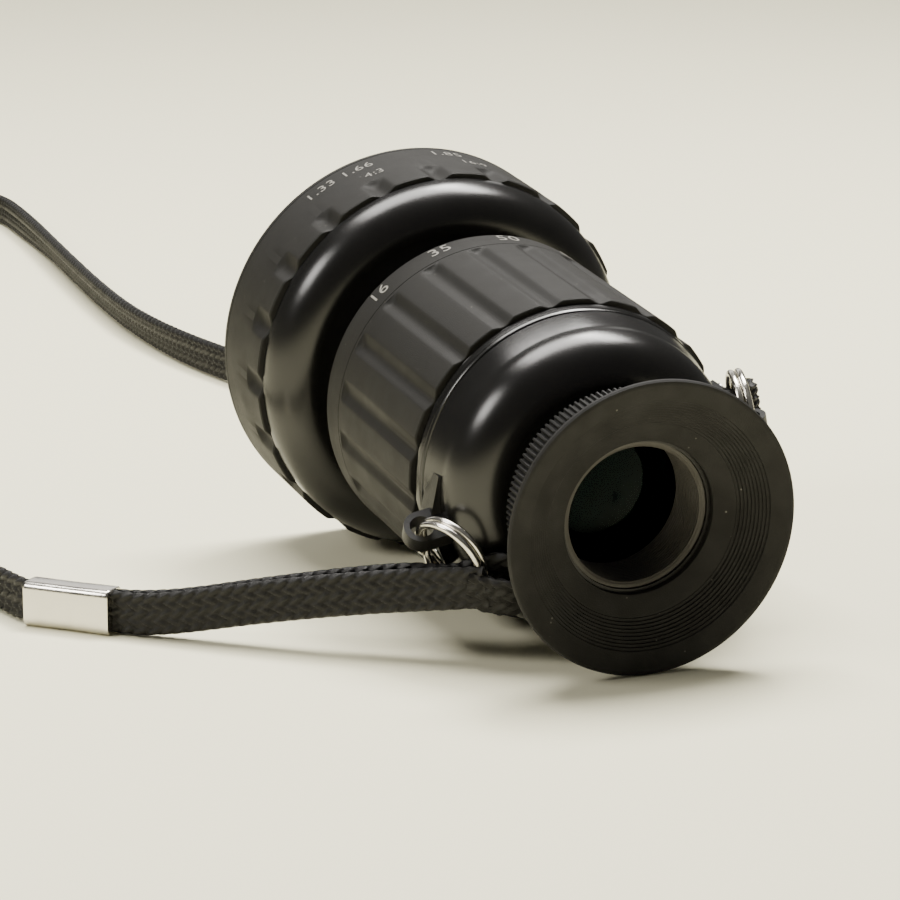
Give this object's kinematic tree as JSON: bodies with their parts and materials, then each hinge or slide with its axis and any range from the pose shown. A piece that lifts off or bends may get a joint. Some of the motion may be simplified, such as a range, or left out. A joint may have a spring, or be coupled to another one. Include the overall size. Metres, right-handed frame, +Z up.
{
  "type": "zoom viewfinder",
  "caption": "Hand-held director's zoom viewfinder with a rubber eyecup, fluted zoom ring, turning aspect-ratio ring and a braided neck strap on split rings",
  "frame": {"origin": "on the table under the middle of the finder, without its strap", "axes": "+Z up, +Y from the eyecup to the front ring, +X to the right seen from the eyecup; the optical axis rises 6.1 degrees toward +Y"},
  "size_m": [0.1088, 0.3938, 0.0572],
  "materials": {
    "eyecup_rubber": "matt moulded rubber",
    "black_metal": "matt black anodised",
    "satin_black": "satin black anodised or lacquered",
    "ring_black": "matt grey-black anodised",
    "coated_glass": "clear, thin teal coating",
    "brass": "turned",
    "spring_steel": "plain",
    "nickel": "nickel plated",
    "braid": "flat woven braid"
  },
  "bodies": {
    "body": {"rear_housing": "satin_black", "main_tube": "black_metal", "front_body": "satin_black", "objective_lens": "coated_glass", "objective_retainer": "black_metal", "frame_mask": "black_metal", "blade_rails": "black_metal", "front_glass": "coated_glass", "glass_ring": "black_metal", "ratio_retainer": "black_metal", "lug_left": "satin_black", "lug_right": "satin_black", "lug_screws": "spring_steel", "crimp_left": "nickel", "crimp_right": "nickel", "strap_end_left": "braid", "strap_end_right": "braid", "strap": "braid"},
    "diopter": {"diopter_ring": "black_metal", "diopter_clip": "spring_steel"},
    "eyepiece": {"eyecup": "eyecup_rubber", "eyepiece_tube": "black_metal", "eye_lens_retainer": "black_metal", "eye_lens": "coated_glass", "lens_spacer": "black_metal", "field_lens": "coated_glass", "field_stop": "black_metal"},
    "zoom": {"zoom_ring": "ring_black", "cam_sleeve": "brass"},
    "carriage": {"zoom_carriage": "black_metal", "zoom_lens": "coated_glass", "zoom_lens_retainer": "black_metal", "cam_pins": "brass"},
    "ratio": {"ratio_ring": "ring_black"},
    "blade_upper": {"upper_blade": "black_metal"},
    "blade_lower": {"lower_blade": "black_metal"},
    "ring_left": {"split_ring_left": "nickel"},
    "ring_right": {"split_ring_right": "nickel"}
  },
  "joints": [
    {"name": "diopter_turn", "type": "hinge", "parent": "body", "child": "diopter", "pos_m": [0, -0.03278, 0.02117], "axis": [0, 0.9943, 0.1071], "range_deg": [-60, 60]},
    {"name": "eyepiece_slide", "type": "slide", "parent": "body", "child": "eyepiece", "axis": [0, 0.9943, 0.1071], "range_m": [-0.00151, 0.00151]},
    {"name": "zoom_turn", "type": "hinge", "parent": "body", "child": "zoom", "pos_m": [0, -0.00096, 0.02459], "axis": [0, 0.9943, 0.1071], "range_deg": [-40, 40]},
    {"name": "carriage_slide", "type": "slide", "parent": "body", "child": "carriage", "axis": [0, 0.9943, 0.1071], "range_m": [-0.00502, 0.00502]},
    {"name": "ratio_turn", "type": "hinge", "parent": "body", "child": "ratio", "pos_m": [0, 0.03583, 0.02856], "axis": [0, 0.9943, 0.1071], "range_deg": [-40, 40]},
    {"name": "blade_upper_slide", "type": "slide", "parent": "body", "child": "blade_upper", "axis": [0, -0.1071, 0.9943], "range_m": [-0.00302, 0.00302]},
    {"name": "blade_lower_slide", "type": "slide", "parent": "body", "child": "blade_lower", "axis": [0, -0.1071, 0.9943], "range_m": [-0.00302, 0.00302]},
    {"name": "ring_left_swing", "type": "hinge", "parent": "body", "child": "ring_left", "pos_m": [-0.02338, -0.02275, 0.01682], "axis": [0.1507, 0.658, -0.7378], "range_deg": [0, 5]},
    {"name": "ring_right_swing", "type": "hinge", "parent": "body", "child": "ring_right", "pos_m": [0.02338, -0.02391, 0.02755], "axis": [0.225, 0.1043, -0.9688], "range_deg": [-2, 5]}
  ],
  "couplings": [
    {"joint": "eyepiece_slide", "follows": "diopter_turn", "m_per_rad": 0.0014324},
    {"joint": "carriage_slide", "follows": "zoom_turn", "m_per_rad": 0.007162},
    {"joint": "blade_upper_slide", "follows": "ratio_turn", "m_per_rad": -0.0042972},
    {"joint": "blade_lower_slide", "follows": "ratio_turn", "m_per_rad": 0.0042972}
  ]
}
